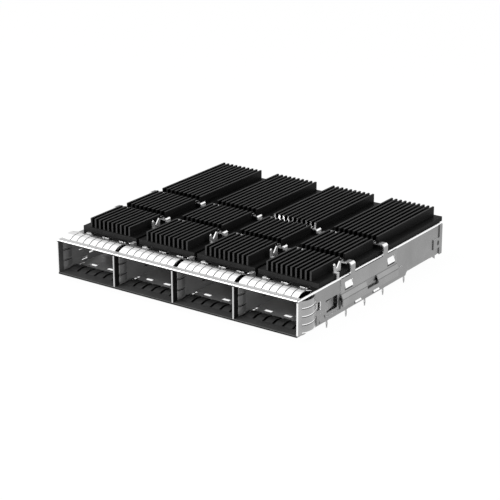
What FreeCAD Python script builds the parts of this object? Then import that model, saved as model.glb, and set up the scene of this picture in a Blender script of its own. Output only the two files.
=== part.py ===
"""Ganged transceiver cage, four ports side by side, with a riding heat sink on each port.

Frame: +X across the ports (to the right seen from the front), +Y from the front openings
towards the back, +Z up. The origin is the middle of the cage's front edge on the board plane,
so the floor's underside lies at Z = 0 and the press-fit tails reach below it.
"""
import FreeCAD
import Part
import math
import os
import Sketcher

PORTS = 4
FINS = 10
TAIL_ROW = 4
FLOOR_TICKS = 3
OUTER_FINGERS = 8
INNER_FINGERS = 6
SIDE_FINGERS = 4
WALL_FINGERS = 3

SIZES = [
    # the folded cage
    ("port_pitch", 19.0, "centre to centre of two ports"),
    ("port_height", 8.9, "clear height inside a port"),
    ("cage_depth", 69.75, "front edge to back panel"),
    ("sheet", 0.25, "thickness of the folded cage sheets"),
    ("cover_bend", 0.5, "outer radius where the cover turns down into a side wall"),
    ("floor_bend", 0.45, "outer radius where the floor turns up into a side flange"),
    ("rear_lift", 0.7, "rise of a side wall's lower edge behind the last tail"),
    ("rear_hook", 65.0, "front of the pointed hook under a side wall"),
    ("rear_hook_length", 1.75, "length of that hook"),
    ("rear_hook_reach", 1.05, "how far it reaches down"),
    ("panel_gap", 0.02, "room between two folded sheets that lie on each other"),
    # the tails and the board
    ("tail_length", 1.85, "press-fit tail below the board plane"),
    ("tail_width", 0.62, "width of a tail along the cage"),
    ("tail_first", 12.9, "first tail from the front edge"),
    ("tail_pitch", 8.92, "tail to tail along the cage"),
    ("tail_last", 50.35, "last tail from the front edge"),
    ("tail_shoulder", 1.7, "width of the shoulder above a tail"),
    ("tail_room", 0.12, "clearance round a shoulder in the floor"),
    ("tail_slot", 0.5, "height of the slots for the outer tails in the floor's bends"),
    # the grounding strips round the mouths
    ("strip_metal", 0.15, "thickness of the spring strips"),
    ("strip_grip", 0.02, "room between a strip and the sheet it grips"),
    ("finger_pitch", 2.17, "outer finger to outer finger"),
    ("finger_rise", 0.85, "how far an outer finger bows out"),
    ("finger_foot", 1.6, "where a finger leaves the strip"),
    ("finger_tip", 7.4, "where an outer finger ends"),
    ("finger_slit", 0.22, "slit between two fingers"),
    ("side_slit", 0.38, "slit between two fingers on a side wall"),
    ("inner_pitch", 2.95, "inner finger to inner finger"),
    ("inner_rise", 0.38, "how far an inner finger bows into the port"),
    ("inner_tip", 7.9, "where an inner finger ends"),
    # the latch windows, lances and tabs of the walls
    ("latch_front", 12.3, "front edge of a latch window"),
    ("latch_length", 5.6, "length of a latch window"),
    ("latch_low", 2.1, "lower edge of a latch window above the board"),
    ("latch_height", 3.4, "height of a latch window"),
    ("latch_bend", 0.42, "how far a latch finger bends into its port"),
    ("dimple_front", 8.1, "front edge of the small contact window in a side wall"),
    ("dimple_length", 1.9, "length of a contact window"),
    ("dimple_low", 4.1, "lower edge of a contact window"),
    ("dimple_height", 2.05, "height of a contact window"),
    ("dimple_bend", 0.28, "how far a contact finger bends into its port"),
    ("lance_reach", 0.55, "how far a lance stands out of its wall"),
    ("clip_lance_first", 22.4, "middle of the front lance that holds the clip"),
    ("clip_lance_second", 42.9, "middle of the back lance that holds the clip"),
    ("clip_lance_low", 6.2, "lower edge of a clip lance"),
    ("clip_lance_high", 7.5, "upper edge of a clip lance"),
    ("clip_lance_length", 3.4, "length of a clip lance"),
    ("hook_ear", 10.3, "middle of the lance that holds the flange's ear"),
    ("hook_first", 26.9, "middle of the front lance under the clip's plate"),
    ("hook_second", 35.7, "middle of the back lance under the clip's plate"),
    ("hook_low", 0.8, "lower edge of a lance that holds the flange"),
    ("hook_high", 1.7, "upper edge of a lance that holds the flange"),
    ("hook_ear_length", 2.3, "length of the ear's lance"),
    ("hook_length", 2.8, "length of the lances under the clip's plate"),
    ("hook_room", 0.25, "clearance round a lance in the flange"),
    ("tab_front", 7.55, "front edge of the small raised tabs behind the fingers"),
    ("tab_length", 1.8, "length of a raised tab"),
    ("tab_rise", 0.5, "height of a raised tab"),
    ("tab_width", 2.1, "width of a raised tab"),
    ("tab_spread", 5.6, "raised tab to raised tab"),
    ("tab_shift", 0.6, "middle tab from the middle of its port"),
    ("tab_room", 0.08, "slit round a tab"),
    ("fold_rise", 0.55, "top of a divider's folded tab above the cover"),
    ("fold_reach", 1.1, "how far a divider's tab is folded over"),
    # the floor and the back panel
    ("flange_front", 7.8, "front edge of the floor's side flange"),
    ("flange_back", 49.3, "back edge of the floor's side flange"),
    ("flange_high", 3.0, "height of the flange's front ear"),
    ("flange_low", 1.3, "height of the flange under the latch window"),
    ("flange_plate", 3.5, "height of the flange behind the latch window"),
    ("mouth_front", 44.0, "front of the connector openings in the floor"),
    ("mouth_length", 22.0, "length of a connector opening"),
    ("mouth_width", 16.4, "width of a connector opening"),
    ("floor_inset", 0.9, "from a side wall to the floor's edge behind the connector openings"),
    ("gasket_first", 5.65, "first floor window from the middle of its port"),
    ("gasket_second", 0.25, "second floor window from the middle of its port"),
    ("gasket_line", 9.7, "middle of the floor windows"),
    ("gasket_width", 2.4, "width of a floor window"),
    ("gasket_length", 1.4, "length of a floor window"),
    ("tick_inset", 0.5, "small floor slots from the divider's middle"),
    ("tick_line", 6.8, "first small floor slot"),
    ("tick_pitch", 1.25, "small slot to small slot"),
    ("tick_width", 0.5, "width of a small floor slot"),
    ("tick_length", 0.75, "length of a small floor slot"),
    ("panel_flange", 1.15, "depth of the back panel's side flanges"),
    ("panel_low", 0.65, "lower edge of the back panel's side flanges"),
    ("ear_reach", 4.3, "how far the square ears reach in front of the back panel"),
    ("ear_low", 2.75, "lower edge of an ear"),
    ("ear_height", 2.85, "height of an ear"),
    ("ear_hole", 1.9, "hole of an ear from the back panel"),
    ("ear_hole_width", 1.0, "width of that hole"),
    ("ear_hole_height", 1.4, "height of that hole"),
    ("vent_width", 1.4, "width of a vent slot in the back panel"),
    ("vent_height", 4.2, "height of a vent slot"),
    ("vent_pitch", 2.8, "vent slot to vent slot"),
    # the riding heat sinks
    ("base_width", 18.04, "width of a heat sink's base"),
    ("base_front", 9.96, "front of the base from the cage's front edge"),
    ("base_overhang", 1.41, "how far the base reaches past the back panel"),
    ("base_thick", 1.25, "thickness of the base"),
    ("fin_block", 13.42, "outer face of the first fin to that of the last"),
    ("fin_thick", 0.5, "thickness of a fin"),
    ("fin_height", 2.5, "height of a fin above the base"),
    ("fins_front", 10.23, "front of the fins from the cage's front edge"),
    ("fins_overhang", 0.94, "how far the fins reach past the back panel"),
    ("bar_first", 24.33, "middle of the front cross slot"),
    ("bar_second", 40.12, "middle of the back cross slot"),
    ("slot_width", 2.33, "width of a cross slot"),
    ("pedestal_width", 14.6, "width of the contact pad under the base"),
    ("pedestal_front", 20.0, "front of the contact pad"),
    ("pedestal_length", 38.0, "length of the contact pad"),
    ("pedestal_reach", 0.35, "how far the pad hangs into the port"),
    ("window_room", 0.4, "clearance round the pad in the cover"),
    # the stamped clip
    ("clip_metal", 0.3, "thickness of the clip"),
    ("clip_front", 18.95, "front edge of a side plate"),
    ("clip_back", 45.9, "back edge of a side plate"),
    ("clip_low", 1.7, "lower edge of a side plate"),
    ("joggle_low", 3.75, "lower end of the outward step"),
    ("joggle_high", 5.1, "upper end of the outward step"),
    ("joggle_step", 0.6, "how far the lower plate steps out"),
    ("clip_window", 33.25, "middle of the opening in a side plate"),
    ("clip_window_length", 5.4, "length of that opening"),
    ("clip_window_low", 2.9, "lower edge of that opening"),
    ("clip_window_high", 5.1, "upper edge of that opening"),
    ("bar_width", 2.1, "width of a cross bar"),
    ("crest_height", 2.7, "top of a cross bar above the cover"),
    ("crest_bend", 0.7, "outer radius where a bar turns down into a side plate"),
    ("leg_place", 8.33, "a bar's inner legs from the middle of a port"),
    ("leg_bend", 0.25, "cut-off corner where a bar turns down into an inner leg"),
    ("valley_room", 0.43, "room between a heat sink at rest and the bar beside it"),
    ("arm_place", 6.2, "where a bar starts to fall from the middle of a port"),
    ("seat_half", 2.4, "half the length of a bar that lies on a heat sink"),
    ("fork_front", 17.7, "front of a fork from the cage's front edge"),
    ("fork_width", 3.1, "width of a fork along the cage"),
    ("fork_height", 2.55, "height of a fork above the heat sink's base"),
    ("prong_width", 0.75, "width of a fork's prong"),
    ("notch_low", 1.05, "bottom of a fork's notch above the heat sink's base"),
    ("arm_width", 0.5, "width of the arm between a fork and its bar"),
    ("foot_length", 1.0, "length of a fork's foot along the cage"),
    ("foot_room", 0.08, "room between a fork's foot and the heat sink's edge"),
]


class Length:
    """A size: its value now, and the sheet expression that keeps a feature tied to it."""

    def __init__(self, value, text):
        self.value = float(value)
        self.text = text

    def join(self, other, sign, value):
        """The sum, difference, product or quotient with another size or number."""
        text = other.text if isinstance(other, Length) else repr(float(other))
        return Length(value, "(%s %s %s)" % (self.text, sign, text))

    def __add__(self, other):
        return self.join(other, "+", self.value + number(other))

    def __sub__(self, other):
        return self.join(other, "-", self.value - number(other))

    def __mul__(self, other):
        return self.join(other, "*", self.value * number(other))

    def __truediv__(self, other):
        return self.join(other, "/", self.value / number(other))

    def __neg__(self):
        return Length(-self.value, "(0 - %s)" % self.text)


def number(thing):
    """The plain value of a size or of a number."""
    return thing.value if isinstance(thing, Length) else float(thing)


doc = FreeCAD.newDocument("Cage")
table = doc.addObject("Spreadsheet::Sheet", "Sizes")
for row, (alias, value, meaning) in enumerate(SIZES, start=1):
    table.set("A%d" % row, meaning)
    table.set("B%d" % row, str(value))
    table.setAlias("B%d" % row, alias)
doc.recompute()


def size(name):
    """A driving dimension from the sheet."""
    return Length(table.get(name), "Sizes.%s" % name)


def tie(thing, prop, length):
    """Bind one property of an object to a size."""
    thing.setExpression(prop, length.text)


# Levels and places that several pieces share

ZERO = Length(0, "0")
SHEET = size("sheet")
FLOOR_TOP = SHEET
COVER_UNDER = FLOOR_TOP + size("port_height")
COVER_TOP = COVER_UNDER + SHEET
WALL_IN = size("port_pitch") * (PORTS / 2) - SHEET / 2
WALL_OUT = WALL_IN + SHEET
FLANGE_IN = WALL_OUT + size("panel_gap")
DEPTH = size("cage_depth")
BASE_TOP = COVER_TOP + size("base_thick")


def port_centre(index):
    """X of a port's middle, counted from 0 at the left."""
    return size("port_pitch") * (index - (PORTS - 1) / 2)


def divider_place(index):
    """X of the middle of a divider, counted from 0 at the left."""
    return size("port_pitch") * (index + 1 - PORTS / 2)


# Helpers for bodies that are drawn and padded

def new_body(label):
    """An empty body whose label names its file."""
    body = doc.addObject("PartDesign::Body", label)
    body.Label = label
    return body


def draw(body, role, loops, offset, name):
    """A sketch on an origin plane, moved along its normal, with every corner tied to sizes."""
    sketch = body.newObject("Sketcher::SketchObject", name)
    plane = [item for item in body.Origin.OriginFeatures if item.Role == role][0]
    sketch.AttachmentSupport = [(plane, "")]
    sketch.MapMode = "FlatFace"
    sketch.AttachmentOffset = FreeCAD.Placement(
        FreeCAD.Vector(0, 0, offset.value), FreeCAD.Rotation())
    tie(sketch, "AttachmentOffset.Base.z", offset)
    lines = []
    rules = []
    lengths = []
    for loop in loops:
        first = len(lines)
        points = [FreeCAD.Vector(u.value, v.value, 0) for u, v in loop]
        for i, (u, v) in enumerate(loop):
            following = (i + 1) % len(loop)
            lines.append(Part.LineSegment(points[i], points[following]))
            rules.append(Sketcher.Constraint("Coincident", first + i, 2, first + following, 1))
            lengths += [("DistanceX", first + i, u), ("DistanceY", first + i, v)]
    sketch.addGeometry(lines, False)
    start = len(rules)
    for kind, line, length in lengths:
        rules.append(Sketcher.Constraint(kind, -1, 1, line, 1, length.value))
    sketch.addConstraint(rules)
    for step, (kind, line, length) in enumerate(lengths):
        tie(sketch, "Constraints[%d]" % (start + step), length)
    sketch.Visibility = False
    return sketch


def pad(body, sketch, length, name, backwards=False):
    """Give a sketch thickness, along its normal unless told otherwise."""
    return thicken(body, "PartDesign::Pad", sketch, length, name, backwards)


def pocket(body, sketch, length, name, backwards=False):
    """Cut a sketch into the body, against its normal unless told otherwise."""
    return thicken(body, "PartDesign::Pocket", sketch, length, name, backwards)


def thicken(body, kind, sketch, length, name, backwards):
    """A pad or a pocket with its length tied to a size."""
    feature = body.newObject(kind, name)
    feature.Profile = sketch
    feature.Length = length.value
    tie(feature, "Length", length)
    feature.Reversed = backwards
    body.Tip = feature
    return feature


def repeat(body, feature, sketch, axis, length, count, name):
    """Copies of a feature in a row along one axis of its sketch."""
    pattern = body.newObject("PartDesign::LinearPattern", name)
    pattern.Originals = [feature]
    pattern.Direction = (sketch, [axis])
    pattern.Length = length.value
    tie(pattern, "Length", length)
    pattern.Occurrences = count
    body.Tip = pattern
    return pattern


def rectangle(u_low, u_high, v_low, v_high):
    """Corners of a rectangle, going round it once."""
    return [(u_low, v_low), (u_high, v_low), (u_high, v_high), (u_low, v_high)]


def around(u, v, width, height):
    """A rectangle round its own middle."""
    return rectangle(u - width / 2, u + width / 2, v - height / 2, v + height / 2)


# Helpers for pieces that are bent from strip

def bent_section(corners, radii, thickness, to_space):
    """The section of a strip of even thickness that follows corners, round or sharp ones."""
    half = thickness / 2
    ways = []
    for (u0, v0), (u1, v1) in zip(corners, corners[1:]):
        run = math.hypot(u1 - u0, v1 - v0)
        ways.append(((u1 - u0) / run, (v1 - v0) / run))

    def beside(point, way, side):
        return (point[0] - way[1] * side * half, point[1] + way[0] * side * half)

    def sharp(i, side):
        """The one point of a sharp corner on one side of the strip."""
        before, after = ways[i - 1], ways[i]
        lean = (after[0] - before[0], after[1] - before[1])
        share = side * half / (before[0] * after[1] - before[1] * after[0])
        return (corners[i][0] + lean[0] * share, corners[i][1] + lean[1] * share)

    def bend(i, side):
        """Start, middle and end of one bend on one side of the strip."""
        before, after = ways[i - 1], ways[i]
        cross = before[0] * after[1] - before[1] * after[0]
        dot = before[0] * after[0] + before[1] * after[1]
        turn = math.atan2(cross, dot)
        hand = 1 if turn > 0 else -1
        radius = radii[i - 1]
        reach = radius * math.tan(abs(turn) / 2)
        corner = corners[i]
        start = (corner[0] - before[0] * reach, corner[1] - before[1] * reach)
        end = (corner[0] + after[0] * reach, corner[1] + after[1] * reach)
        centre = (start[0] - before[1] * radius * hand, start[1] + before[0] * radius * hand)
        far = math.hypot(corner[0] - centre[0], corner[1] - centre[1])
        share = (radius - side * hand * half) / far
        middle = (centre[0] + (corner[0] - centre[0]) * share,
                  centre[1] + (corner[1] - centre[1]) * share)
        return beside(start, before, side), middle, beside(end, after, side)

    def one_side(side):
        """Edges of one side of the strip, and its two ends."""
        first = beside(corners[0], ways[0], side)
        here = first
        edges = []
        for i in range(1, len(corners) - 1):
            if radii[i - 1] == 0:
                there = sharp(i, side)
                edges.append(Part.LineSegment(to_space(*here), to_space(*there)).toShape())
                here = there
                continue
            start, middle, end = bend(i, side)
            edges.append(Part.LineSegment(to_space(*here), to_space(*start)).toShape())
            edges.append(Part.Arc(to_space(*start), to_space(*middle), to_space(*end)).toShape())
            here = end
        last = beside(corners[-1], ways[-1], side)
        edges.append(Part.LineSegment(to_space(*here), to_space(*last)).toShape())
        return edges, first, last

    left, left_first, left_last = one_side(1)
    right, right_first, right_last = one_side(-1)
    caps = [Part.LineSegment(to_space(*left_last), to_space(*right_last)).toShape(),
            Part.LineSegment(to_space(*right_first), to_space(*left_first)).toShape()]
    return Part.Face(Part.Wire(Part.__sortEdges__(left + right + caps)))


def block(x_low, x_high, y_low, y_high, z_low, z_high):
    """A plain block between two corners, used to cut."""
    return Part.makeBox(x_high - x_low, y_high - y_low, z_high - z_low,
                        FreeCAD.Vector(x_low, y_low, z_low))


def prism(corners, to_space, way):
    """A flat outline pushed along a way."""
    points = [to_space(u, v) for u, v in corners]
    return Part.Face(Part.makePolygon(points + points[:1])).extrude(way)


def shape_piece(label, shape, placement=None):
    """A piece whose shape comes from the functions above."""
    piece = doc.addObject("Part::Feature", label)
    piece.Label = label
    piece.Shape = shape
    if placement is not None:
        piece.Placement = placement
    return piece


# The folded sheets of the cage

def opening(kind):
    """A window of the walls as (Y, Z) corners, by the first word of its sizes."""
    front, low = size(kind + "_front"), size(kind + "_low")
    return rectangle(front, front + size(kind + "_length"), low, low + size(kind + "_height"))


def add_finger(body, kind, wall, side, low_share, high_share, name):
    """A finger on a window's front edge that bends into the port towards the back."""
    front = size(kind + "_front")
    inner = wall
    outer = wall + SHEET * side
    bend = (size(kind + "_bend") + SHEET) * (-side)
    tip = front + size(kind + "_length") * 0.8
    corners = [(inner, front - SHEET), (outer, front - SHEET), (outer, front),
               (outer + bend, tip), (inner + bend, tip), (inner, front)]
    height = size(kind + "_height")
    low = size(kind + "_low") + height * low_share
    sketch = draw(body, "XY_Plane", [corners], low, name)
    pad(body, sketch, height * (high_share - low_share), name + "Pad")


def add_tails(body, wall_start, name):
    """Press-fit tails with an eye under one wall or divider, and the last one further back."""
    half_tail = size("tail_width") / 2
    half_shoulder = size("tail_shoulder") / 2
    reach = size("tail_length")
    for place, tail_name in ((size("tail_first"), "Tail"), (size("tail_last"), "LastTail")):
        sides = []
        for hand in (1, -1):
            side = [(place + half_shoulder * hand, FLOOR_TOP + SHEET),
                    (place + half_shoulder * hand, ZERO),
                    (place + half_tail * (0.8 * hand), ZERO),
                    (place + half_tail * (1.25 * hand), -reach * 0.48),
                    (place + half_tail * (0.6 * hand), -reach)]
            sides.append(side)
        outline = sides[0] + sides[1][::-1]
        eye = [(place, -reach * 0.2), (place - half_tail * 0.45, -reach * 0.47),
               (place, -reach * 0.75), (place + half_tail * 0.45, -reach * 0.47)]
        sketch = draw(body, "YZ_Plane", [outline, eye], wall_start, name + tail_name)
        tail = pad(body, sketch, SHEET, name + tail_name + "Pad")
        if tail_name == "Tail":
            repeat(body, tail, sketch, "H_Axis", size("tail_pitch") * (TAIL_ROW - 1),
                   TAIL_ROW, name + "TailRow")


def lance(place, low, high, length):
    """A lance in a side wall as (middle along Y, low, high, length), from the names of its sizes."""
    return tuple(size(name) for name in (place, low, high, length))


CLIP_LANCES = [lance(place, "clip_lance_low", "clip_lance_high", "clip_lance_length")
               for place in ("clip_lance_first", "clip_lance_second")]
FLANGE_LANCES = [lance(place, "hook_low", "hook_high", length)
                 for place, length in (("hook_ear", "hook_ear_length"),
                                       ("hook_first", "hook_length"),
                                       ("hook_second", "hook_length"))]


def add_lances(body):
    """Tongues bent out of both side walls: each starts flush at its top and stands out below."""
    for index, (place, low, high, length) in enumerate(CLIP_LANCES + FLANGE_LANCES):
        loops = []
        for hand in (1, -1):
            loops.append([(WALL_IN * hand, high), (WALL_OUT * hand, high + SHEET),
                          ((WALL_OUT + size("lance_reach")) * hand, low),
                          ((WALL_IN + size("lance_reach")) * hand, low)])
        name = "Lance%d" % (index + 1)
        sketch = draw(body, "XZ_Plane", loops, -(place + length / 2), name)
        pad(body, sketch, length, name + "Pad")


def side_wall():
    """Outline of a side wall as (Y, Z) corners: its lower edge rises behind the last tail."""
    step = size("tail_last") + size("tail_shoulder") / 2
    lifted = FLOOR_TOP + size("rear_lift")
    hook_back = size("rear_hook") + size("rear_hook_length")
    return [(ZERO, FLOOR_TOP), (step, FLOOR_TOP), (step + size("rear_lift"), lifted),
            (size("rear_hook"), lifted), (hook_back, lifted - size("rear_hook_reach")),
            (hook_back, lifted), (DEPTH, lifted), (DEPTH, COVER_TOP), (ZERO, COVER_TOP)]


def make_cover():
    """The top sheet with its openings and both side walls, folded from one sheet."""
    body = new_body("cage_cover")
    top = [rectangle(-WALL_OUT, WALL_OUT, ZERO, DEPTH)]
    width = size("pedestal_width") + size("window_room") * 2
    front = size("pedestal_front") - size("window_room")
    back = size("pedestal_front") + size("pedestal_length") + size("window_room")
    for index in range(PORTS):
        middle = port_centre(index)
        top.append(rectangle(middle - width / 2, middle + width / 2, front, back))
    room = size("tab_room")
    for index in range(PORTS - 1):
        half = SHEET / 2 + room
        top.append(rectangle(divider_place(index) - half, divider_place(index) + half,
                             size("tab_front") - room,
                             size("tab_front") + size("tab_length") + room))
    pad(body, draw(body, "XY_Plane", top, COVER_UNDER, "TopOutline"), SHEET, "Top")
    sides = (("Right", WALL_IN, WALL_IN, 1), ("Left", -WALL_OUT, -WALL_IN, -1))
    for side, start, inner, hand in sides:
        loops = [side_wall(), opening("latch"), opening("dimple")]
        for place, low, high, length in CLIP_LANCES + FLANGE_LANCES:
            loops.append(rectangle(place - length / 2, place + length / 2, low, high))
        pad(body, draw(body, "YZ_Plane", loops, start, side + "Outline"), SHEET, side + "Wall")
    round_bends(body, COVER_TOP, WALL_OUT, size("cover_bend"))
    for side, start, inner, hand in sides:
        add_finger(body, "latch", inner, hand, 0.12, 0.88, side + "Latch")
        add_finger(body, "dimple", inner, hand, 0.1, 0.9, side + "Dimple")
        add_tails(body, start, side)
    add_lances(body)
    add_raised_tabs(body)
    return body


def round_bends(body, level, side, radius):
    """Round the two long outer edges at a level where a sheet turns up or down."""
    doc.recompute()
    folded = body.Tip
    edges = []
    for index, edge in enumerate(folded.Shape.Edges):
        box = edge.BoundBox
        height = abs(box.ZMin - level.value) + abs(box.ZMax - level.value)
        across = abs(abs(box.XMin) - side.value) + abs(abs(box.XMax) - side.value)
        if height + across < 0.01 and box.YLength > DEPTH.value / 2:
            edges.append("Edge%d" % (index + 1))
    bends = body.newObject("PartDesign::Fillet", "Bends")
    bends.Base = (folded, edges)
    bends.Radius = radius.value
    tie(bends, "Radius", radius)
    body.Tip = bends


def add_raised_tabs(body):
    """Three small tongues on each port, raised out of the top behind the fingers."""
    front, rise = size("tab_front"), size("tab_rise")
    back = front + size("tab_length")
    over = COVER_TOP + rise
    ramp = SHEET * 0.41
    profile = [(front, over - SHEET), (back - rise - ramp, over - SHEET),
               (back - ramp, COVER_UNDER), (back, COVER_UNDER), (back, COVER_TOP),
               (back - rise, over), (front, over)]
    spread = size("tab_spread")
    for index in range(PORTS):
        name = "Tab%d" % (index + 1)
        start = port_centre(index) + size("tab_shift") - spread - size("tab_width") / 2
        sketch = draw(body, "YZ_Plane", [profile], start, name)
        tab = pad(body, sketch, size("tab_width"), name + "Pad")
        repeat(body, tab, sketch, "N_Axis", spread * 2, 3, name + "Row")


def make_floor():
    """The floor with its connector openings and the two flanges that wrap the walls."""
    body = new_body("floor_pan")
    edge = FLANGE_IN + SHEET
    back = size("flange_back")
    rail = port_centre(PORTS - 1) + size("mouth_width") / 2
    mouth_back = size("mouth_front") + size("mouth_length")
    rear = WALL_IN - size("floor_inset")
    right = [(WALL_OUT, ZERO), (WALL_OUT, size("flange_front")), (edge, size("flange_front")),
             (edge, back), (rail, back), (rail, mouth_back), (rear, mouth_back), (rear, DEPTH)]
    left = [(-u, v) for u, v in right]
    pad(body, draw(body, "XY_Plane", [right + left[::-1]], ZERO, "Outline"), SHEET, "Sheet")
    add_floor_flanges(body)
    round_bends(body, ZERO, edge, size("floor_bend"))
    cut_port_holes(body)
    cut_tail_holes(body)
    return body


def cut_port_holes(body):
    """Each port's connector opening, gasket windows and small slots."""
    middle = port_centre(0)
    loops = [rectangle(middle - size("mouth_width") / 2, middle + size("mouth_width") / 2,
                       size("mouth_front"), size("mouth_front") + size("mouth_length"))]
    for across in (-size("gasket_first"), size("gasket_second")):
        loops.append(around(middle + across, size("gasket_line"), size("gasket_width"),
                            size("gasket_length")))
    for step in range(FLOOR_TICKS):
        loops.append(around(divider_place(-1) + size("tick_inset"),
                            size("tick_line") + size("tick_pitch") * step,
                            size("tick_width"), size("tick_length")))
    sketch = draw(body, "XY_Plane", loops, SHEET, "PortHoles")
    holes = pocket(body, sketch, SHEET, "PortHolesCut")
    repeat(body, holes, sketch, "H_Axis", size("port_pitch") * (PORTS - 1), PORTS, "PortRow")


def cut_tail_holes(body):
    """Slots for the tails' shoulders: through the floor, and on both sides through its bend."""
    room = size("tail_room") * 2
    places = [size("tail_first") + size("tail_pitch") * step for step in range(TAIL_ROW)]
    long = size("tail_shoulder") + room
    loops = [around(divider_place(0), along, SHEET + room, long)
             for along in places + [size("tail_last")]]
    sketch = draw(body, "XY_Plane", loops, SHEET, "TailHoles")
    holes = pocket(body, sketch, SHEET, "TailHolesCut")
    repeat(body, holes, sketch, "H_Axis", size("port_pitch") * (PORTS - 2), PORTS - 1, "TailRows")
    loops = []
    inner, outer = WALL_IN - room / 2, FLANGE_IN + SHEET * 2
    for along in places:
        loops.append(rectangle(inner, outer, along - long / 2, along + long / 2))
        loops.append(rectangle(-outer, -inner, along - long / 2, along + long / 2))
    sketch = draw(body, "XY_Plane", loops, size("tail_slot"), "OuterSlots")
    pocket(body, sketch, size("tail_slot"), "OuterSlotsCut")


def add_floor_flanges(body):
    """Both side flanges, with a dip under the latch window and windows for the lances."""
    front, back = size("flange_front"), size("flange_back")
    dip_front = size("latch_front")
    dip_back = dip_front + size("latch_length") + size("clip_metal") * 3
    outline = [(front, ZERO), (back, ZERO), (back, size("flange_plate")),
               (dip_back, size("flange_plate")), (dip_back, size("flange_low")),
               (dip_front, size("flange_low")), (dip_front, size("flange_high")),
               (front, size("flange_high"))]
    loops = [outline]
    room = size("hook_room")
    for place, low, high, length in FLANGE_LANCES:
        loops.append(rectangle(place - length / 2 - room, place + length / 2 + room,
                               low - room, high + room * 1.5))
    for side, start in (("Right", FLANGE_IN), ("Left", -(FLANGE_IN + SHEET))):
        sketch = draw(body, "YZ_Plane", loops, start, side + "Flange")
        pad(body, sketch, SHEET, side + "FlangePad")


def make_divider(index):
    """One inner wall between two ports: a latch finger bent each way, and a folded top tab."""
    body = new_body("divider_%d" % (index + 1))
    start = divider_place(index) - SHEET / 2
    loops = [rectangle(ZERO, DEPTH - SHEET, FLOOR_TOP, COVER_UNDER), opening("latch")]
    pad(body, draw(body, "YZ_Plane", loops, start, "Outline"), SHEET, "Wall")
    add_finger(body, "latch", start, 1, 0.06, 0.46, "LeftLatch")
    add_finger(body, "latch", start + SHEET, -1, 0.54, 0.94, "RightLatch")
    add_tails(body, start, "Divider")
    add_folded_tab(body, start)
    return body


def add_folded_tab(body, start):
    """The tab that rises through the cover behind the fingers and is folded over to the left."""
    over = COVER_TOP + size("fold_rise")
    right = start + SHEET
    left = right - size("fold_reach")
    profile = [(start, COVER_UNDER - SHEET), (right, COVER_UNDER - SHEET), (right, over),
               (left, over), (left, over - SHEET), (start, over - SHEET)]
    back = size("tab_front") + size("tab_length")
    sketch = draw(body, "XZ_Plane", [profile], -back, "Fold")
    pad(body, sketch, size("tab_length"), "FoldPad")


def make_back_panel():
    """The back panel with vent slots, and flanges whose square ears grip the side walls."""
    body = new_body("back_panel")
    edge = FLANGE_IN + SHEET
    inset = WALL_IN - size("floor_inset")
    top = COVER_TOP - SHEET
    outline = [(-edge, size("panel_low")), (-inset, size("panel_low")), (-inset, FLOOR_TOP),
               (inset, FLOOR_TOP), (inset, size("panel_low")), (edge, size("panel_low")),
               (edge, top), (-edge, top)]
    sketch = draw(body, "XZ_Plane", [outline], -(DEPTH + SHEET), "Outline")
    pad(body, sketch, SHEET, "Panel")
    cut_vents(body)
    front = DEPTH - size("panel_flange")
    ear_front = DEPTH - size("ear_reach")
    ear_low, ear_high = size("ear_low"), size("ear_low") + size("ear_height")
    outline = [(front, size("panel_low")), (DEPTH + SHEET, size("panel_low")),
               (DEPTH + SHEET, top), (front, top), (front, ear_high), (ear_front, ear_high),
               (ear_front, ear_low), (front, ear_low)]
    hole = oval(DEPTH - size("ear_hole"), (ear_low + ear_high) / 2, size("ear_hole_width"),
                size("ear_hole_height"))
    for side, start in (("Right", FLANGE_IN), ("Left", -(FLANGE_IN + SHEET))):
        sketch = draw(body, "YZ_Plane", [outline, hole], start, side + "Flange")
        pad(body, sketch, SHEET, side + "FlangePad")
    return body


def cut_vents(body):
    """Five upright vent slots with cut corners behind each port."""
    width, height = size("vent_width"), size("vent_height")
    level = FLOOR_TOP + size("port_height") / 2
    first = port_centre(0) - size("vent_pitch") * 2
    bevel = width / 2
    low, high = level - height / 2, level + height / 2
    left, right = first - width / 2, first + width / 2
    slot = [(first, low), (right, low + bevel), (right, high - bevel), (first, high),
            (left, high - bevel), (left, low + bevel)]
    for index in range(PORTS):
        shifted = [(u + size("port_pitch") * index, v) for u, v in slot]
        name = "Vents%d" % (index + 1)
        sketch = draw(body, "XZ_Plane", [shifted], -DEPTH, name)
        vents = pocket(body, sketch, SHEET, name + "Cut")
        repeat(body, vents, sketch, "H_Axis", size("vent_pitch") * 4, 5, name + "Row")


def oval(u, v, width, height):
    """Eight corners that stand for a rounded hole."""
    near, far = width * 0.22, width / 2
    low, high = height * 0.28, height / 2
    return [(u - near, v - high), (u + near, v - high), (u + far, v - low), (u + far, v + low),
            (u + near, v + high), (u - near, v + high), (u - far, v + low), (u - far, v - low)]


# The riding heat sinks

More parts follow.
